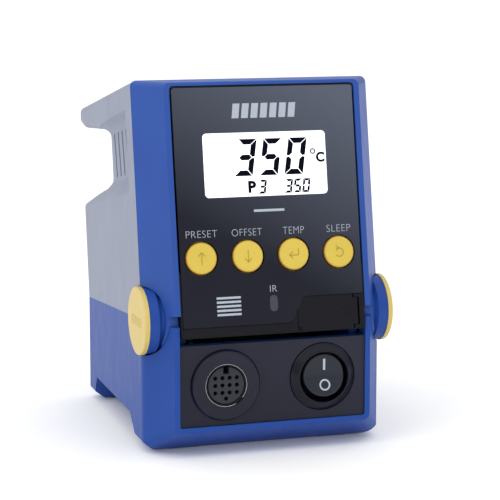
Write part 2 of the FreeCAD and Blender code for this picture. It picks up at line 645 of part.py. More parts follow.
def make_spring():
    """Coil of the knob spring, as stacked turns of wire."""
    turns = 6
    length = 41.9 - (BRACKET_OUT + 1.2)
    pitch = length / (turns - 1)
    start = BRACKET_OUT + 1.2
    rings = [Part.makeTorus(4.4, 0.35, V(start + i * pitch, 0, 0), V(1, 0, 0)) for i in range(turns)]
    return Part.makeCompound(rings)


def at_pivot(shape):
    shape = shape.copy()
    shape.translate(V(0, PIVOT_Y, PIVOT_Z))
    return shape


# ---------------------------------------------------------------- lower front
def make_connector_panel():
    plate = slab(rect(-LOW_HALF + 0.1, LOW_HALF - 0.1, LOW_BOTTOM, LOW_TOP, 0.9),
                 in_front(LOW_RECESS), V(0, LOW_T, 0))
    return minus(plate, [cyl(BEZEL_R + 0.35, V(SWITCH_X, -2, SWITCH_Z), V(SWITCH_X, 8, SWITCH_Z)),
                         cyl(COLLAR_R + 0.4, V(SOCKET_X, -2, SOCKET_Z), V(SOCKET_X, 8, SOCKET_Z))])


def switch_point(y):
    return V(SWITCH_X, y, SWITCH_Z)


def make_switch_housing():
    flange = cyl(BEZEL_R, switch_point(0.6), switch_point(2.18))
    bezel = cone(9.9, BEZEL_R, switch_point(-1.3), switch_point(0.6))
    barrel = cyl(10.7, switch_point(2.0), switch_point(20.0))
    body = union([flange, bezel, barrel])
    body = fillet_where(body, 0.25, lambda e: e.BoundBox.YMax < -1.29)
    return body.cut(cyl(SWITCH_OPEN_R, switch_point(-3), switch_point(12.0)))


def make_rocker():
    disc = cyl(ROCKER_R, V(0, -7, 0), V(0, 8, 0))
    side = [(-6.4, 9, 0), (-5.3, 0, 12), (-6.4, -9, 0), (-2.6, -9, 0), (3.0, -3.4, 1), (3.0, 3.4, 1),
            (-2.6, 9, 0)]
    body = disc.common(slab(side, in_side(-10), V(20, 0, 0)))
    body = fillet_where(body, 0.5, lambda e: e.BoundBox.YMax < -5.2 and e.BoundBox.XLength > 3)
    pin = cyl(0.9, V(-9.0, 0, 0), V(9.0, 0, 0))
    body = union([body, pin])
    body.rotate(V(0, 0, 0), V(1, 0, 0), -ROCKER_REST)
    body.translate(switch_point(4.6))
    return body


def make_switch_terminals():
    blades = [box(SWITCH_X - 2.4, SWITCH_X + 2.4, 20.0, 27.0, SWITCH_Z + z - 0.4, SWITCH_Z + z + 0.4)
              for z in (-6.5, 0, 6.5)]
    return Part.makeCompound(blades)


def socket_point(y):
    return V(SOCKET_X, y, SOCKET_Z)


def make_socket_collar():
    ring = tube(COLLAR_R, COLLAR_BORE, socket_point(-1.0), socket_point(2.18))
    return fillet_where(ring, 1.1, lambda e: e.BoundBox.YMax < -0.99 and e.BoundBox.XLength > 20)


def make_snap_ring():
    ring = Part.makeTorus(SNAP_R, 0.16, socket_point(-0.35), V(0, 1, 0))
    gap = Part.makeBox(3.4, 2, 20)
    gap.translate(V(-1.7, -1, 0))
    gap.rotate(V(0, 0, 0), V(0, 1, 0), 180 - 40)
    gap.translate(socket_point(-0.35))
    return ring.cut(gap)


def make_socket_shell():
    shell = tube(7.95, 7.1, socket_point(0.0), socket_point(18.0))
    return shell.fuse(tube(10.9, 7.1, socket_point(2.25), socket_point(4.0))).removeSplitter()


def pin_places():
    """Twelve contacts in three rows of four, and one below them."""
    places = [((i - 1.5) * PIN_PITCH, (1 - row) * PIN_PITCH) for row in range(3) for i in range(4)]
    places.append((0.0, -4.9))
    return places


def make_socket_insert():
    body = cyl(INSERT_R, socket_point(-0.1), socket_point(16.0))
    holes = [cyl(0.78, V(SOCKET_X + dx, -2, SOCKET_Z + dz), V(SOCKET_X + dx, 9, SOCKET_Z + dz))
             for dx, dz in pin_places()]
    key = box(SOCKET_X - 1.1, SOCKET_X + 1.1, -2, 6, SOCKET_Z + 4.2, SOCKET_Z + 8)
    holes += [cyl(0.47, V(SOCKET_X + dx, 8, SOCKET_Z + dz), V(SOCKET_X + dx, 17, SOCKET_Z + dz))
              for dx, dz in pin_places()]
    flange = tube(7.08, 6.0, socket_point(12.0), socket_point(14.0))
    return minus(body.fuse(flange), holes + [key]).removeSplitter()


def make_socket_pins():
    pins = [cyl(0.45, V(SOCKET_X + dx, 9.1, SOCKET_Z + dz), V(SOCKET_X + dx, 21.5, SOCKET_Z + dz))
            for dx, dz in pin_places()]
    return Part.makeCompound(pins)


# ---------------------------------------------------------------- power parts
def make_core():
    x0, x1 = CORE_X - CORE_W / 2, CORE_X + CORE_W / 2
    z0, z1 = CORE_Z - CORE_H / 2, CORE_Z + CORE_H / 2
    block = box(x0, x1, CORE_Y0, CORE_Y1, z0, z1)
    leg = CORE_W / 6
    windows = [box(x0 + leg, CORE_X - leg, 0, 200, z0 + leg, z1 - leg),
               box(CORE_X + leg, x1 - leg, 0, 200, z0 + leg, z1 - leg)]
    return minus(block, windows)


def make_windings():
    leg = CORE_W / 6
    z0, z1 = CORE_Z - CORE_H / 2 + leg + 0.5, CORE_Z + CORE_H / 2 - leg - 0.5
    out = CORE_W / 2 - leg - 0.5
    around = rect(CORE_X - out, CORE_X + out, CORE_Y0 - 5.5, CORE_Y1 + 5.0, 4.0)
    coil = slab(around, in_plan(z0), V(0, 0, z1 - z0))
    core = box(CORE_X - leg - 0.3, CORE_X + leg + 0.3, CORE_Y0 - 0.3, CORE_Y1 + 0.3, 0, 100)
    return coil.cut(core)


def make_bracket():
    x0, x1 = CORE_X - CORE_W / 2, CORE_X + CORE_W / 2
    z0, z1 = CORE_Z - CORE_H / 2, CORE_Z + CORE_H / 2
    t = 1.2
    c = 0.1
    strap = box(x0 - c - t, x1 + c + t, CORE_Y0 + 8, CORE_Y1 - 8, FLOOR_Z, z1 + c + t)
    inner = box(x0 - c, x1 + c, 0, 200, FLOOR_Z - 1, z1 + c)
    ears = box(x1 + c, x1 + c + 10, CORE_Y0 + 8, CORE_Y1 - 8, FLOOR_Z, FLOOR_Z + t)
    lower = box(x0 - c - t, x1 + c + t, CORE_Y0 + 8, CORE_Y1 - 8, FLOOR_Z, FLOOR_Z + t)
    holes = [cyl(1.9, V(x1 + 6.5, y, 0), V(x1 + 6.5, y, 30)) for y in BRACKET_SCREW_Y]
    return minus(union([strap.cut(inner), ears, lower]), holes)


BRACKET_SCREW_Y = (71.0, 81.0)


def make_bracket_screws():
    x = CORE_X + CORE_W / 2 + 6.5
    screws = []
    for y in BRACKET_SCREW_Y:
        head = cyl(3.0, V(x, y, FLOOR_Z + 1.22), V(x, y, FLOOR_Z + 3.4))
        screws.append(head.fuse(cyl(1.8, V(x, y, FLOOR_Z + 0.02), V(x, y, FLOOR_Z + 1.3))).removeSplitter())
    return Part.makeCompound(screws)


def make_power_board():
    return box(-31, 31, BOARD_Y, BOARD_Y + BOARD_T, FLOOR_Z + 1.5, 72)


def make_capacitors():
    y = BOARD_Y - 0.03
    cans = [cyl(5.0, V(x, y - 13, z), V(x, y, z)) for x, z in ((-20, 62), (-8, 62))]
    cans += [cyl(3.0, V(x, y - 9, z), V(x, y, z)) for x, z in ((4, 65), (12, 65))]
    return Part.makeCompound([can.makeFillet(0.5, can.Edges[:1]) for can in cans])


def make_heat_sink():
    y = BOARD_Y - 0.03
    base = box(-29, -25.5, y - 16, y, 20, 52)
    fins = [box(-25.6, -21, y - 16 + 3.2 * i, y - 14.8 + 3.2 * i, 20, 52) for i in range(5)]
    return union([base] + fins)


def make_triac():
    y = BOARD_Y - 0.03
    return box(-20.8, -16.4, y - 10, y, 30, 40)


def make_terminal_block():
    y = BOARD_Y - 0.03
    block = box(0, 28, y - 12, y, FLOOR_Z + 3, 26)
    holes = [cyl(1.9, V(3.5 + 7 * i, y - 14, 20), V(3.5 + 7 * i, y - 4, 20)) for i in range(4)]
    return minus(block, holes)


def make_fuse():
    y = BOARD_Y - 6
    glass = cyl(2.6, V(4, y, 46), V(24, y, 46))
    clips = [box(x - 1.5, x + 1.5, y - 3.2, BOARD_Y - 0.03, 43.4, 48.6) for x in (6, 22)]
    return union([glass] + clips)


def make_inlet():
    body = inlet_block(0, CASE_DEPTH - 17.5, CASE_DEPTH + 0.6)
    flange = slab(rect(INLET_X - 15.6, INLET_X + 15.6, INLET_Z - 12.0, INLET_Z + 12.0, 2.0),
                  in_front(CASE_DEPTH + 0.05), V(0, 1.9, 0))
    w, h = 12.2, 8.2
    corners = [(-w, -h, 1.5), (w, -h, 1.5), (w, h - 3.7, 1.0), (w - 3.6, h, 1.0), (3.6 - w, h, 1.0),
               (-w, h - 3.7, 1.0)]
    cavity = slab([(INLET_X + a, INLET_Z + b, r) for a, b, r in corners],
                  in_front(CASE_DEPTH - 14.6), V(0, 20, 0))
    return minus(union([body, flange]), [cavity])


def make_inlet_pins():
    pins = []
    for dx, dz in ((-7.0, -1.5), (7.0, -1.5), (0.0, 2.0)):
        x, z = INLET_X + dx, INLET_Z + dz
        pins.append(box(x - 1.0, x + 1.0, CASE_DEPTH - 14.58, CASE_DEPTH - 1.5, z - 2.0, z + 2.0))
        pins.append(box(x - 2.4, x + 2.4, CASE_DEPTH - 19.3, CASE_DEPTH - 17.52, z - 0.4, z + 0.4))
    return Part.makeCompound(pins)


def make_case_screws():
    screws = []
    for sx in (-1, 1):
        for x, y in SCREW_POSTS:
            seat = FLOOR_Z + 5.97
            head = cyl(2.9, V(sx * x, y, seat - 2.0), V(sx * x, y, seat))
            shank = cyl(1.25, V(sx * x, y, seat - 0.5), V(sx * x, y, seam_z(y) + 5))
            screws.append(head.fuse(shank).removeSplitter())
    return Part.makeCompound(screws)


# ---------------------------------------------------------------- assembly
def build():
    pieces = {
        "lower_case": make_lower_case(),
        "top_cover": make_top_cover(),
        "display_frame": lean(make_display_frame()),
        "display_housing": lean(make_display_housing()),
        "front_panel": lean(make_front_panel()),
        "lower_trim": lean(make_lower_trim()),
        "usb_cover": lean(make_usb_cover()),
        "lcd_window": lean(make_lcd_window()),
        "lcd_module": lean(make_lcd_module()),
        "display_board": lean(make_display_board()),
        "board_screws": lean(make_board_screws()),
        "board_parts": lean(make_board_parts()),
        "buzzer": lean(make_buzzer()),
        "button_switches": lean(make_button_switches()),
        "ir_window": lean(make_ir_window()),
        "ir_receiver": lean(make_ir_receiver()),
        "usb_port": lean(make_usb_port()),
        "connector_panel": make_connector_panel(),
        "switch_housing": make_switch_housing(),
        "switch_rocker": make_rocker(),
        "switch_terminals": make_switch_terminals(),
        "socket_collar": make_socket_collar(),
        "socket_snap_ring": make_snap_ring(),
        "socket_shell": make_socket_shell(),
        "socket_insert": make_socket_insert(),
        "socket_pins": make_socket_pins(),
        "transformer_core": make_core(),
        "transformer_windings": make_windings(),
        "transformer_bracket": make_bracket(),
        "bracket_screws": make_bracket_screws(),
        "power_board": make_power_board(),
        "capacitors": make_capacitors(),
        "heat_sink": make_heat_sink(),
        "triac": make_triac(),
        "terminal_block": make_terminal_block(),
        "fuse": make_fuse(),
        "mains_inlet": make_inlet(),
        "inlet_pins": make_inlet_pins(),
        "case_screws": make_case_screws(),
        "rubber_feet": Part.makeCompound(foot_pads(0)),
    }
    for index, name in enumerate(("preset_button", "offset_button", "temp_button", "sleep_button")):
        pieces[name] = lean(make_button(index))
    for name, shape in (("knob", make_knob()), ("knob_cap", make_cap()), ("knob_clip", make_clip()),
                        ("pivot_bush", make_bush()), ("knob_spring", make_spring())):
        pieces["right_" + name] = at_pivot(shape)
        pieces["left_" + name] = mirror(at_pivot(shape))
    return pieces


def main():
    os.makedirs("parts", exist_ok=True)
    pieces = build()
    whole = Part.makeCompound(list(pieces.values())).optimalBoundingBox(False)
    middle = (whole.YMin + whole.YMax) / 2
    for name, shape in pieces.items():
        shape = shape.copy()
        shape.translate(V(0, -middle, 0))
        solids = len(shape.Solids)
        print(name, "solids", solids, "valid", shape.isValid(), "volume", round(shape.Volume, 1))
        shape.exportStep("parts/" + name + ".step")
    print("shift", round(-middle, 3), "box", whole)


main()
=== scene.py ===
import json
import math

import bmesh
import bpy
from mathutils import Matrix, Vector


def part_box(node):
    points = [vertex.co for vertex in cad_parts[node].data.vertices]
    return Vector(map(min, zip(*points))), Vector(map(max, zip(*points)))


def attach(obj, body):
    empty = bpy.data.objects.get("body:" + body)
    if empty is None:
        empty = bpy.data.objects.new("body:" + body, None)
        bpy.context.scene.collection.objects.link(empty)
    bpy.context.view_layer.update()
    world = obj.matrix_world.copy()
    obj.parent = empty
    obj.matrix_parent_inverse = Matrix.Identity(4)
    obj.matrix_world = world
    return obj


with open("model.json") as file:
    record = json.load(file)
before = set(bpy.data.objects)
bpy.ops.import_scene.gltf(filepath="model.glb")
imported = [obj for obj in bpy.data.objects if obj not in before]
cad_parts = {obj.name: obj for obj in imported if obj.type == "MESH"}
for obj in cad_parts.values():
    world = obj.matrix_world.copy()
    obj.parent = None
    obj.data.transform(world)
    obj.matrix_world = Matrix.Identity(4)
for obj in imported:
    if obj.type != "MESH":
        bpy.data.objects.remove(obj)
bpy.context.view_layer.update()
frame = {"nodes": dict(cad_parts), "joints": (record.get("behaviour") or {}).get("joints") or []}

MM = 0.001
LEAN = math.radians(9.86)            # how far the head leans back
AXIS_BEHIND_FRONT = 14.9             # from the case's front plane back to the head's axis
HEAD_FRONT = -15.66                  # the printed panel's face, before the head's axis
PRINT_LIFT = 0.005                   # how far a print stands before the face it is on
PRINT_V = HEAD_FRONT - PRINT_LIFT


# ---------------------------------------------------------------- places
def joint(name):
    return next(j for j in frame["joints"] if j["name"] == name)


PIVOT = Vector(joint("head_tilt")["pos_m"])
SHIFT = PIVOT.y - AXIS_BEHIND_FRONT * MM     # y of the case's front plane in the frame


def on_head(x, v, u):
    """Millimetres on the leaning head to a point of the frame."""
    y = v * math.cos(LEAN) + u * math.sin(LEAN)
    z = -v * math.sin(LEAN) + u * math.cos(LEAN)
    return PIVOT + Vector((x, y, z)) * MM


# ---------------------------------------------------------------- materials
def srgb(r, g, b):
    def lin(c):
        c /= 255.0
        return c / 12.92 if c <= 0.04045 else ((c + 0.055) / 1.055) ** 2.4
    return (lin(r), lin(g), lin(b), 1.0)


class Nodes:
    """Small helper round a material's node tree."""

    def __init__(self, name):
        self.mat = bpy.data.materials.new(name)
        self.mat.use_nodes = True
        self.tree = self.mat.node_tree
        self.shader = self.tree.nodes["Principled BSDF"]
        self.coords = self.add("ShaderNodeTexCoord")

    def add(self, kind, **values):
        node = self.tree.nodes.new(kind)
        for key, value in values.items():
            setattr(node, key, value)
        return node

    def link(self, a, b):
        self.tree.links.new(a, b)

    def noise(self, scale, detail=3.0, rough=0.5, stretch=None):
        node = self.add("ShaderNodeTexNoise")
        node.inputs["Scale"].default_value = scale
        node.inputs["Detail"].default_value = detail
        node.inputs["Roughness"].default_value = rough
        source = self.coords.outputs["Object"]
        if stretch:
            mapping = self.add("ShaderNodeMapping")
            mapping.inputs["Scale"].default_value = stretch
            self.link(source, mapping.inputs["Vector"])
            source = mapping.outputs["Vector"]
        self.link(source, node.inputs["Vector"])
        return node.outputs["Fac"]

    def mix(self, fac, a, b):
        node = self.add("ShaderNodeMix", data_type="RGBA")
        self.link(fac, node.inputs["Factor"])
        for socket, value in ((node.inputs["A"], a), (node.inputs["B"], b)):
            if isinstance(value, tuple):
                socket.default_value = value
            else:
                self.link(value, socket)
        return node.outputs["Result"]

    def ramp(self, fac, low, high, out_low=0.0, out_high=1.0):
        node = self.add("ShaderNodeMapRange")
        node.inputs["From Min"].default_value = low
        node.inputs["From Max"].default_value = high
        node.inputs["To Min"].default_value = out_low
        node.inputs["To Max"].default_value = out_high
        self.link(fac, node.inputs["Value"])
        return node.outputs["Result"]

    def bump(self, height, strength, distance):
        node = self.add("ShaderNodeBump")
        node.inputs["Strength"].default_value = strength
        node.inputs["Distance"].default_value = distance
        self.link(height, node.inputs["Height"])
        self.link(node.outputs["Normal"], self.shader.inputs["Normal"])

    def set(self, **values):
        names = {"rough": "Roughness", "metal": "Metallic", "spec": "Specular IOR Level",
                 "coat": "Coat Weight", "coat_rough": "Coat Roughness", "emit": "Emission Strength"}
        for key, value in values.items():
            self.shader.inputs[names[key]].default_value = value


def moulded(name, base, other, rough, grain, depth, spec=0.5, coat=0.0):
    """Moulded plastic: fine spark-eroded grain, slow colour drift, faint handling marks."""
    n = Nodes(name)
    n.set(rough=rough, spec=spec, coat=coat, coat_rough=0.25)
    drift = n.noise(35.0, 2.0)
    fine = n.noise(grain, 2.0, 0.6)
    colour = n.mix(n.ramp(drift, 0.3, 0.7), base, other)
    darker = tuple(c * 0.93 for c in base[:3]) + (1.0,)
    colour = n.mix(n.ramp(fine, 0.45, 0.75, 0.0, 0.35), colour, darker)
    n.link(colour, n.shader.inputs["Base Color"])
    marks = n.noise(420.0, 4.0, 0.7, (1.0, 1.0, 0.15))
    n.link(n.ramp(marks, 0.35, 0.75, rough * 0.9, min(1.0, rough * 1.15)), n.shader.inputs["Roughness"])
    n.bump(fine, depth, 0.00006)
    return n.mat


def painted_rim_shade(mat, shade_colour):
    """Painted shade: deeper amber where a button's face turns down into its rim, standing in for shade
    on the rounded edge.
    """
    tree = mat.node_tree
    shader = tree.nodes["Principled BSDF"]
    face = shader.inputs["Base Color"].links[0].from_socket
    coords = next(node for node in tree.nodes if node.type == "TEX_COORD")
    facing = tree.nodes.new("ShaderNodeVectorMath")
    facing.operation = "DOT_PRODUCT"
    facing.inputs[1].default_value = (0.0, -math.cos(LEAN), math.sin(LEAN))
    tree.links.new(coords.outputs["Normal"], facing.inputs[0])
    level = tree.nodes.new("ShaderNodeMapRange")
    level.inputs["From Min"].default_value = 0.45
    level.inputs["From Max"].default_value = 0.99
    tree.links.new(facing.outputs["Value"], level.inputs["Value"])
    # painted shade: blend towards the darker rim colour as the surface turns away from the front
    blend = tree.nodes.new("ShaderNodeMix")
    blend.data_type = "RGBA"
    blend.inputs["A"].default_value = shade_colour
    tree.links.new(level.outputs["Result"], blend.inputs["Factor"])
    tree.links.new(face, blend.inputs["B"])
    tree.links.new(blend.outputs["Result"], shader.inputs["Base Color"])


def printed_panel_with_painted_sheen(name, low_colour, sheen_colour, z_low, z_high, rough):
    """Satin printed film with a painted sheen: lighter towards its top right corner, standing in for
    reflected light.
    """
    n = Nodes(name)
    n.set(rough=rough, spec=0.22)
    across = n.add("ShaderNodeMapping")
    across.inputs["Rotation"].default_value = (0.0, math.radians(-30.0), 0.0)
    n.link(n.coords.outputs["Object"], across.inputs["Vector"])
    split = n.add("ShaderNodeSeparateXYZ")
    n.link(across.outputs["Vector"], split.inputs["Vector"])
    # painted sheen: blend from the film's own dark colour to the lighter sheen colour towards the top
    # right
    height = n.ramp(split.outputs["Z"], z_low, z_high)
    colour = n.mix(height, low_colour, sheen_colour)
    speck = n.noise(5200.0, 1.0)
    darker = tuple(c * 0.85 for c in low_colour[:3]) + (1.0,)
    colour = n.mix(n.ramp(speck, 0.5, 0.8, 0.0, 0.3), colour, darker)
    n.link(colour, n.shader.inputs["Base Color"])
    smear = n.noise(60.0, 4.0, 0.65)
    n.link(n.ramp(smear, 0.3, 0.75, rough * 0.85, rough * 1.25), n.shader.inputs["Roughness"])
    n.bump(speck, 0.12, 0.00003)
    return n.mat


def metal(name, colour, rough, brushed=None, bump=0.05):
    n = Nodes(name)
    n.set(metal=1.0, rough=rough)
    lines = n.noise(900.0, 3.0, 0.6, brushed)
    dark = tuple(c * 0.75 for c in colour[:3]) + (1.0,)
    n.link(n.mix(n.ramp(lines, 0.3, 0.7), colour, dark), n.shader.inputs["Base Color"])
    n.link(n.ramp(lines, 0.3, 0.7, rough * 0.8, min(1.0, rough * 1.3)), n.shader.inputs["Roughness"])
    n.bump(lines, bump, 0.00002)
    return n.mat


def board(name):
    """Green solder mask with copper tracks showing through."""
    n = Nodes(name)
    n.set(rough=0.35, coat=0.4, coat_rough=0.2)
    tracks = n.add("ShaderNodeTexBrick")
    tracks.inputs["Scale"].default_value = 260.0
    tracks.inputs["Mortar Size"].default_value = 0.04
    n.link(n.coords.outputs["Object"], tracks.inputs["Vector"])
    fine = n.noise(700.0, 2.0)
    colour = n.mix(tracks.outputs["Fac"], srgb(12, 84, 48), srgb(30, 116, 66))
    colour = n.mix(n.ramp(fine, 0.4, 0.8, 0.0, 0.4), colour, srgb(8, 60, 36))
    n.link(colour, n.shader.inputs["Base Color"])
    n.bump(tracks.outputs["Fac"], 0.3, 0.00003)
    return n.mat


def laminated(name):
    """Stacked steel sheets, varnished."""
    n = Nodes(name)
    n.set(metal=0.6, rough=0.45)
    wave = n.add("ShaderNodeTexWave", bands_direction="Y")
    wave.inputs["Scale"].default_value = 320.0
    wave.inputs["Distortion"].default_value = 0.4
    n.link(n.coords.outputs["Object"], wave.inputs["Vector"])
    colour = n.mix(wave.outputs["Fac"], srgb(58, 58, 62), srgb(104, 102, 100))
    n.link(colour, n.shader.inputs["Base Color"])
    n.bump(wave.outputs["Fac"], 0.5, 0.0001)
    return n.mat


def lit_display(name):
    """Back-lit liquid crystal glass: nearly even white with a faint cool drift."""
    n = Nodes(name)
    n.set(rough=0.2, spec=0.3, emit=0.8)
    glow = n.noise(28.0, 1.0)
    mesh = n.noise(6500.0, 0.0)
    colour = n.mix(n.ramp(glow, 0.35, 0.7), srgb(250, 252, 255), srgb(241, 246, 253))
    colour = n.mix(n.ramp(mesh, 0.45, 0.8, 0.0, 0.12), colour, srgb(226, 233, 244))
    n.link(colour, n.shader.inputs["Base Color"])
    n.link(colour, n.shader.inputs["Emission Color"])
    return n.mat


def ink(name, colour, rough=0.5, spec=0.3):
    """Printed ink or a dark display segment, with a faint fleck."""
    n = Nodes(name)
    n.set(rough=rough, spec=spec)
    fleck = n.noise(3000.0, 2.0)
    lighter = tuple(min(1.0, c * 1.12 + 0.002) for c in colour[:3]) + (1.0,)
    n.link(n.mix(n.ramp(fleck, 0.4, 0.7), colour, lighter), n.shader.inputs["Base Color"])
    n.bump(fleck, 0.05, 0.00002)
    return n.mat


BLUE = moulded("blue_case", srgb(35, 75, 157), srgb(31, 70, 151),
               rough=0.45, grain=2600.0, depth=0.35, spec=0.2)
BLUE_HEAD = moulded("blue_head", srgb(42, 81, 162), srgb(38, 76, 156),
                    rough=0.42, grain=2600.0, depth=0.30, spec=0.3)
GREY = moulded("grey_cover", srgb(147, 153, 171), srgb(142, 148, 166),
               rough=0.55, grain=1900.0, depth=0.45, spec=0.3)
YELLOW = moulded("yellow_cap", srgb(217, 193, 112), srgb(211, 187, 106),
                 rough=0.42, grain=2800.0, depth=0.18, spec=0.4)
YELLOW_KEY = moulded("yellow_key", srgb(221, 194, 82), srgb(214, 187, 76),
                     rough=0.38, grain=2800.0, depth=0.18, spec=0.4)
# painted shade round the key rims, darker where the face turns away from the front
painted_rim_shade(YELLOW_KEY, srgb(168, 118, 34))
# painted shade: darker yellow on the button symbols stands in for the shade of their moulded relief
YELLOW_SYMBOL_SHADE = moulded("yellow_relief_painted_shade", srgb(186, 156, 58), srgb(180, 150, 54),
                      rough=0.5, grain=2800.0, depth=0.2, spec=0.3)
BLACK_GLOSS = moulded("black_gloss", srgb(14, 16, 31), srgb(12, 14, 27),
                      rough=0.26, grain=3000.0, depth=0.03, spec=0.22)
BLACK_MATT = moulded("black_matt", srgb(19, 19, 27), srgb(16, 16, 23),
                     rough=0.55, grain=2600.0, depth=0.35, spec=0.18)
BLACK_INNER = moulded("black_inner", srgb(26, 26, 32), srgb(22, 22, 28),
                      rough=0.5, grain=2600.0, depth=0.3, spec=0.2)
ROCKER = moulded("rocker_black", srgb(34, 37, 50), srgb(31, 34, 46),
                 rough=0.38, grain=3000.0, depth=0.08, spec=0.35)
INSERT = moulded("socket_black", srgb(46, 47, 58), srgb(41, 42, 53),
                 rough=0.5, grain=2600.0, depth=0.2, spec=0.3)
RUBBER = moulded("rubber_feet", srgb(26, 26, 27), srgb(33, 33, 34),
                 rough=0.85, grain=1500.0, depth=0.6, spec=0.3)
GREEN = moulded("green_block", srgb(22, 120, 66), srgb(18, 108, 60),
                rough=0.45, grain=2600.0, depth=0.3)
TAPE = moulded("winding_tape", srgb(214, 170, 66), srgb(200, 154, 52),
               rough=0.5, grain=700.0, depth=0.5)
FILTER = moulded("ir_filter", srgb(58, 62, 74), srgb(52, 56, 68),
                 rough=0.2, grain=3000.0, depth=0.03, spec=0.6, coat=0.3)
# both films carry a painted sheen, lighter towards their tops
PANEL = printed_panel_with_painted_sheen("front_film", srgb(21, 23, 36), srgb(88, 94, 109),
                      z_low=0.06, z_high=0.126, rough=0.36)
LOW_PANEL = printed_panel_with_painted_sheen("lower_film", srgb(30, 31, 45), srgb(40, 42, 57),
                          z_low=0.01, z_high=0.045, rough=0.45)
STEEL = metal("plated_steel", srgb(196, 196, 198), 0.28)
BRASS = metal("contact_brass", srgb(206, 170, 96), 0.3)
ALUMINIUM = metal("extruded_aluminium", srgb(190, 192, 196), 0.34, (1.0, 1.0, 0.1))
BOARD = board("circuit_board")
CORE = laminated("core_steel")
DISPLAY = lit_display("lit_display")
SEGMENT = ink("display_segment", srgb(3, 4, 18), 0.7, 0.05)
LEGEND = ink("legend_ink", srgb(166, 173, 186))
MOTIF = ink("motif_ink", srgb(172, 180, 192))
ROCKER_INK = ink("legend_white", srgb(176, 188, 202))

LOOKS = {
    "lower_case": BLUE, "display_frame": BLUE_HEAD, "display_housing": BLACK_INNER, "top_cover": GREY,
    "left_knob": BLUE, "right_knob": BLUE, "left_knob_cap": YELLOW, "right_knob_cap": YELLOW,
    "front_panel": PANEL, "connector_panel": LOW_PANEL, "socket_collar": LOW_PANEL,
    "lower_trim": BLACK_MATT, "usb_cover": BLACK_MATT, "lcd_window": DISPLAY, "lcd_module": BLACK_INNER,
    "ir_window": FILTER, "ir_receiver": BLACK_INNER, "usb_port": STEEL, "display_board": BOARD,
    "board_parts": BLACK_INNER, "board_screws": STEEL, "buzzer": BLACK_INNER,
    "button_switches": BLACK_INNER,
    "preset_button": YELLOW_KEY, "offset_button": YELLOW_KEY, "temp_button": YELLOW_KEY,
    "sleep_button": YELLOW_KEY,
    "switch_housing": BLACK_GLOSS, "switch_rocker": ROCKER, "switch_terminals": BRASS,
    "socket_snap_ring": STEEL, "socket_shell": BLACK_INNER, "socket_insert": INSERT,
    "socket_pins": BRASS,
    "transformer_core": CORE, "transformer_windings": TAPE, "transformer_bracket": STEEL,
    "bracket_screws": STEEL, "power_board": BOARD, "capacitors": BLACK_GLOSS, "heat_sink": ALUMINIUM,
    "triac": BLACK_INNER, "terminal_block": GREEN, "fuse": BRASS, "mains_inlet": BLACK_MATT,
    "inlet_pins": BRASS, "case_screws": STEEL, "rubber_feet": RUBBER, "left_pivot_bush": BRASS,
    "right_pivot_bush": BRASS, "left_knob_spring": STEEL, "right_knob_spring": STEEL,
    "left_knob_clip": STEEL, "right_knob_clip": STEEL,
}

for node, look in LOOKS.items():
    piece = frame["nodes"][node]
    for slot in piece.material_slots:
        slot.material = look
missing = sorted(set(frame["nodes"]) - set(LOOKS))
if missing:
    print("nodes without a look:", missing)


# ---------------------------------------------------------------- drawn pieces
def plate(name, outlines, depth, place, body, look):
    """Thin pieces from flat outlines (lists of (a, b) in mm); place maps (a, b, c) to the frame."""
    bm = bmesh.new()
    for points in outlines:
        top = [bm.verts.new(place(a, b, 0.0)) for a, b in points]
        low = [bm.verts.new(place(a, b, depth)) for a, b in points]
        bm.faces.new(top)
        bm.faces.new(low[::-1])
        for i in range(len(points)):
            j = (i + 1) % len(points)
            bm.faces.new((top[j], top[i], low[i], low[j]))
    bmesh.ops.recalc_face_normals(bm, faces=bm.faces)
    mesh = bpy.data.meshes.new(name)
    bm.to_mesh(mesh)
    bm.free()
    piece = bpy.data.objects.new(name, mesh)
    bpy.context.scene.collection.objects.link(piece)
    mesh.materials.append(look)
    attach(piece, body)
    return piece


def ring_outline(cx, cy, outer, inner, count=40, start=0.0, sweep=360.0):
    """Quads round a ring, or round a part of one."""
    quads = []
    for i in range(count):
        a0 = math.radians(start + sweep * i / count)
        a1 = math.radians(start + sweep * (i + 1) / count)
        quads.append([(cx + r * math.cos(a), cy + r * math.sin(a))
                      for r, a in ((inner, a0), (outer, a0), (outer, a1), (inner, a1))])
    return quads


def stroke(points, width):
    """Quads along a line of points."""
    quads = []
    for (x0, y0), (x1, y1) in zip(points, points[1:]):
        length = math.hypot(x1 - x0, y1 - y0)
        nx, ny = -(y1 - y0) / length * width / 2, (x1 - x0) / length * width / 2
        quads.append([(x0 + nx, y0 + ny), (x0 - nx, y0 - ny), (x1 - nx, y1 - ny), (x1 + nx, y1 + ny)])
    return quads


def text(name, words, x, u, height, place_v, look, body="head", width=None, bold=0.0):
    """Printed legend centred at (x, u) on the head."""
    curve = bpy.data.curves.new(name, "FONT")
    curve.body = words
    curve.align_x = "CENTER"
    curve.align_y = "CENTER"
    curve.size = 1.0
    curve.extrude = 0.01
    curve.offset = bold
    curve.space_character = 1.05
    flat = bpy.data.objects.new(name, curve)
    bpy.context.scene.collection.objects.link(flat)
    bpy.context.view_layer.update()
    mesh = bpy.data.meshes.new_from_object(flat.evaluated_get(bpy.context.evaluated_depsgraph_get()))
    bpy.data.objects.remove(flat)
    xs = [vert.co.x for vert in mesh.vertices]
    ys = [vert.co.y for vert in mesh.vertices]
    sy = height / (max(ys) - min(ys))
    sx = width / (max(xs) - min(xs)) if width else sy
    mx, my = (max(xs) + min(xs)) / 2, (max(ys) + min(ys)) / 2
    for vert in mesh.vertices:
        a, b, c = (vert.co.x - mx) * sx + x, (vert.co.y - my) * sy + u, vert.co.z
        vert.co = on_head(a, place_v - c * 3.0, b)
    piece = bpy.data.objects.new(name, mesh)
    bpy.context.scene.collection.objects.link(piece)
    mesh.materials.clear()
    mesh.materials.append(look)
    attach(piece, body)
    return piece


def head_place(v):
    return lambda a, b, c: on_head(a, v + c, b)


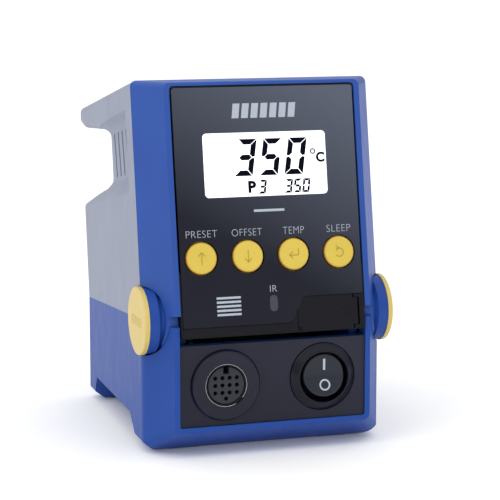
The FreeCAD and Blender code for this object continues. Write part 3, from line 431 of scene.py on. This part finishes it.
# ---------------------------------------------------------------- display digits
def segments(left, low, width, height, bar, slant, lit):
    """Seven-segment figure: slanted bars with mitred ends and hairline gaps."""
    gap = bar * 0.09
    mid = height / 2
    w, h, t = width, height, bar
    shapes = {
        "a": [(gap, h), (w - gap, h), (w - t - gap, h - t), (t + gap, h - t)],
        "b": [(w, h - gap), (w, mid + gap * 2), (w - t * 0.5, mid + gap),
              (w - t, mid + t * 0.5 + gap), (w - t, h - t - gap)],
        "c": [(w, gap), (w, mid - gap * 2), (w - t * 0.5, mid - gap),
              (w - t, mid - t * 0.5 - gap), (w - t, t + gap)],
        "d": [(gap, 0), (w - gap, 0), (w - t - gap, t), (t + gap, t)],
        "e": [(0, gap), (0, mid - gap * 2), (t * 0.5, mid - gap),
              (t, mid - t * 0.5 - gap), (t, t + gap)],
        "f": [(0, h - gap), (0, mid + gap * 2), (t * 0.5, mid + gap),
              (t, mid + t * 0.5 + gap), (t, h - t - gap)],
        "g": [(t * 0.5 + gap, mid), (t + gap, mid + t / 2), (w - t - gap, mid + t / 2),
              (w - t * 0.5 - gap, mid), (w - t - gap, mid - t / 2), (t + gap, mid - t / 2)],
    }
    return [[(left + x + y * slant, low + y) for x, y in shapes[key]] for key in lit]


FIGURES = {"3": "abcdg", "5": "afgcd", "0": "abcdef"}
LCD_V = -15.36                       # face of the display window
BIG = {"width": 7.05, "height": 13.35, "bar": 2.0, "slant": 0.17}
SMALL = {"width": 2.8, "height": 5.05, "bar": 0.85, "slant": 0.15}


def build_display():
    """Reading, channel and set value, with the unit: places are (x, u) in mm on the head."""
    shapes = []
    for i, figure in enumerate("350"):
        shapes += segments(-12.5 + 9.6 * i, 50.1, lit=FIGURES[figure], **BIG)
    shapes += segments(-3.65, 43.5, lit=FIGURES["3"], **SMALL)
    for i, figure in enumerate("350"):
        shapes += segments(6.35 + 3.38 * i, 43.45, lit=FIGURES[figure], **SMALL)
    shapes += ring_outline(17.97, 58.3, outer=1.05, inner=0.58, count=24)
    plate("display_figures", shapes, -0.02, head_place(LCD_V - PRINT_LIFT), "head", SEGMENT)
    letter_v = LCD_V - 2 * PRINT_LIFT
    text("display_letter_p", "P", -5.85, 46.1, 4.35, letter_v, SEGMENT,
         width=3.0, bold=0.05)
    text("display_unit_c", "C", 20.8, 56.12, 3.75, letter_v, SEGMENT,
         width=3.35, bold=0.045)


build_display()

# ---------------------------------------------------------------- legends
LEGEND_U, LEGEND_HEIGHT, LEGEND_BOLD = 29.85, 2.55, -0.02
for label, centre, wide in (("PRESET", -25.95, 11.7), ("OFFSET", -8.9, 11.4),
                            ("TEMP", 8.85, 8.1), ("SLEEP", 26.25, 9.3)):
    text("legend_" + label.lower(), label, centre, LEGEND_U, LEGEND_HEIGHT, PRINT_V, LEGEND,
         width=wide, bold=LEGEND_BOLD)
text("legend_ir", "IR", 0.05, 9.1, 2.3, PRINT_V, LEGEND, bold=-0.014)


def build_marks():
    """Plain decorative bars where a maker would put its marks."""
    bars = []
    for i in range(7):
        left = -12.4 + 3.55 * i
        bars.append([(left, 71.0), (left + 2.6, 71.0), (left + 3.3, 76.3), (left + 0.7, 76.3)])
    line = [[(-5.8, 37.0), (5.8, 37.0), (5.8, 37.9), (-5.8, 37.9)]]
    block = []
    for i in range(5):
        low_u = 0.2 + 1.5 * i
        block.append([(-21.6, low_u), (-12.5, low_u), (-12.5, low_u + 0.8), (-21.6, low_u + 0.8)])
    for name, outlines in (("top_motif", bars), ("middle_motif", line), ("corner_motif", block)):
        plate(name, outlines, -0.02, head_place(PRINT_V), "head", MOTIF)


build_marks()


# ---------------------------------------------------------------- button symbols
BUTTON_FACE = HEAD_FRONT - 0.7       # the buttons stand 0.7 mm proud
BUTTON_X0, BUTTON_PITCH, BUTTON_U = -26.5, 17.47, 21.18


def symbol(name, body, index, quads):
    centre = BUTTON_X0 + BUTTON_PITCH * index
    moved = [[(centre + a, BUTTON_U + b) for a, b in quad] for quad in quads]
    # the symbols take the darker yellow as painted shade of their relief
    plate(name, moved, -0.03, head_place(BUTTON_FACE - 0.004), body, YELLOW_SYMBOL_SHADE)


LINE = 0.42                          # width of the lines of a symbol
arrow_up = stroke([(0, -2.3), (0, 2.1)], LINE) + stroke([(-1.3, 0.7), (0, 2.1)], LINE)
arrow_up += stroke([(0, 2.1), (1.3, 0.7)], LINE)
arrow_down = [[(a, -b) for a, b in quad] for quad in arrow_up]
arrow_enter = stroke([(1.7, 2.0), (1.7, -0.4)], LINE) + stroke([(1.7, -0.4), (-1.7, -0.4)], LINE)
arrow_enter += stroke([(-0.5, 0.8), (-1.8, -0.4)], LINE) + stroke([(-1.8, -0.4), (-0.5, -1.6)], LINE)
turn_back = ring_outline(0.0, -0.2, 1.75, 1.33, 20, -140, 270)
turn_back += stroke([(-1.3, 2.3), (-0.2, 1.4)], LINE) + stroke([(-0.2, 1.4), (-1.3, 0.5)], LINE)
symbol("preset_symbol", "preset_key", 0, arrow_up)
symbol("offset_symbol", "offset_key", 1, arrow_down)
symbol("temp_symbol", "temp_key", 2, arrow_enter)
symbol("sleep_symbol", "sleep_key", 3, turn_back)


# ---------------------------------------------------------------- rocker symbols
def build_rocker_marks():
    """Bar and ring printed on the two slopes of the rocker face."""
    centre = Vector(joint("rocker_tip")["pos_m"])
    turn = Matrix.Rotation(math.radians(-7.5), 3, "X")
    front, slope, crown = -5.35, 0.1222, 1.47      # face, its slopes, and the rounded ridge between

    def place(a, b, c):
        fall = slope * abs(b) if abs(b) > crown else 0.089 + b * b / 24.0
        return centre + turn @ Vector((a, front - fall + c, b)) * MM

    marks = (("rocker_bar", stroke([(0.2, 1.9), (0.2, 6.0)], 0.85)),
             ("rocker_ring", ring_outline(0.2, -3.6, 2.1, 1.5, 40)))
    for name, outlines in marks:
        plate(name, outlines, -0.03, place, "rocker", ROCKER_INK)


build_rocker_marks()


# ---------------------------------------------------------------- raised marks
RELIEF = 0.12                        # how high a raised mark stands


def build_cap_marks():
    """Plain raised bars across each knob cap, where a maker would mould its mark."""
    for side, body, node in ((-1, "left_release", "left_knob_cap"),
                             (1, "right_release", "right_knob_cap")):
        low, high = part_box(node)
        face = low[0] if side < 0 else high[0]

        def place(a, b, c):
            return Vector((face + side * (0.02 * MM - c * MM), PIVOT.y + a * MM, PIVOT.z + b * MM))

        bars = [[(a, -1.6), (a + 1.3, -1.6), (a + 1.7, 1.6), (a + 0.4, 1.6)]
                for a in (-6.6, -4.2, -1.8, 0.6, 3.0, 5.4)]
        plate(node + "_bars", bars, -RELIEF, place, body, YELLOW)


def build_cover_mark():
    """Raised plug mark on the port cover: a stem between two short arms."""
    quads = [[(24.6, -0.9), (30.6, -0.9), (30.6, -0.5), (24.6, -0.5)],
             [(24.6, -1.7), (25.4, -1.7), (25.4, 0.3), (24.6, 0.3)],
             [(27.2, 0.5), (28.6, 0.5), (28.6, 0.9), (27.2, 0.9)],
             [(27.2, -2.3), (28.6, -2.3), (28.6, -1.9), (27.2, -1.9)]]
    plate("cover_mark", quads, -RELIEF, head_place(HEAD_FRONT + 0.19), "usb_flap", BLACK_INNER)


build_cap_marks()
build_cover_mark()

# ---------------------------------------------------------------- stage, camera, light
FLOOR_HALF, FLOOR_GLOW = 30.0, 0.08
floor_mesh = bpy.data.meshes.new("floor")
bm = bmesh.new()
bmesh.ops.create_grid(bm, x_segments=1, y_segments=1, size=FLOOR_HALF)
bm.to_mesh(floor_mesh)
bm.free()
floor = bpy.data.objects.new("floor", floor_mesh)
bpy.context.scene.collection.objects.link(floor)
n = Nodes("floor_paper")
n.set(rough=0.9, spec=0.2)
paper = n.noise(40.0, 3.0)
white = n.mix(n.ramp(paper, 0.3, 0.7), (0.95, 0.95, 0.95, 1.0), (0.93, 0.93, 0.932, 1.0))
n.link(white, n.shader.inputs["Base Color"])
n.shader.inputs["Emission Color"].default_value = (1.0, 1.0, 1.0, 1.0)
n.set(emit=FLOOR_GLOW)
floor_mesh.materials.append(n.mat)

# studio dome: soft, brighter overhead than at the horizon
SKY_HORIZON, SKY_TOP = 0.42, 1.5
world = bpy.data.worlds.new("studio")
bpy.context.scene.world = world
world.use_nodes = True
sky = world.node_tree
direction = sky.nodes.new("ShaderNodeTexCoord")
height = sky.nodes.new("ShaderNodeSeparateXYZ")
level = sky.nodes.new("ShaderNodeMapRange")
level.inputs["To Min"].default_value = SKY_HORIZON
level.inputs["To Max"].default_value = SKY_TOP
sky.links.new(direction.outputs["Generated"], height.inputs["Vector"])
sky.links.new(height.outputs["Z"], level.inputs["Value"])
sky.links.new(level.outputs["Result"], sky.nodes["Background"].inputs["Strength"])
sky.nodes["Background"].inputs["Color"].default_value = (1.0, 1.0, 1.0, 1.0)


key_light = bpy.data.lights.new("key_left", "AREA")
key_light.shape = "RECTANGLE"
key_light.size, key_light.size_y = 0.6, 0.6
key_light.energy = 2.6
key = bpy.data.objects.new("key_left", key_light)
key.location = (-0.9, -0.5, 1.0)
lit_point = Vector((0.0, 0.0, 0.07))
key.rotation_euler = (lit_point - key.location).to_track_quat("-Z", "Y").to_euler()
bpy.context.scene.collection.objects.link(key)

camera_data = bpy.data.cameras.new("camera")
camera_data.sensor_width = 36.0
camera_data.lens = 137.64
camera_data.clip_start = 0.01
camera = bpy.data.objects.new("camera", camera_data)
bpy.context.scene.collection.objects.link(camera)
front_plane = Vector((0, SHIFT, 0))
eye = Vector((-220.21, -642.89, 179.75)) * MM + front_plane
aim = Vector((-2.16, 21.49, 71.95)) * MM + front_plane
camera.location = eye
camera.rotation_euler = (aim - eye).to_track_quat("-Z", "Y").to_euler()
bpy.context.scene.camera = camera
bpy.context.scene.view_settings.view_transform = "Standard"
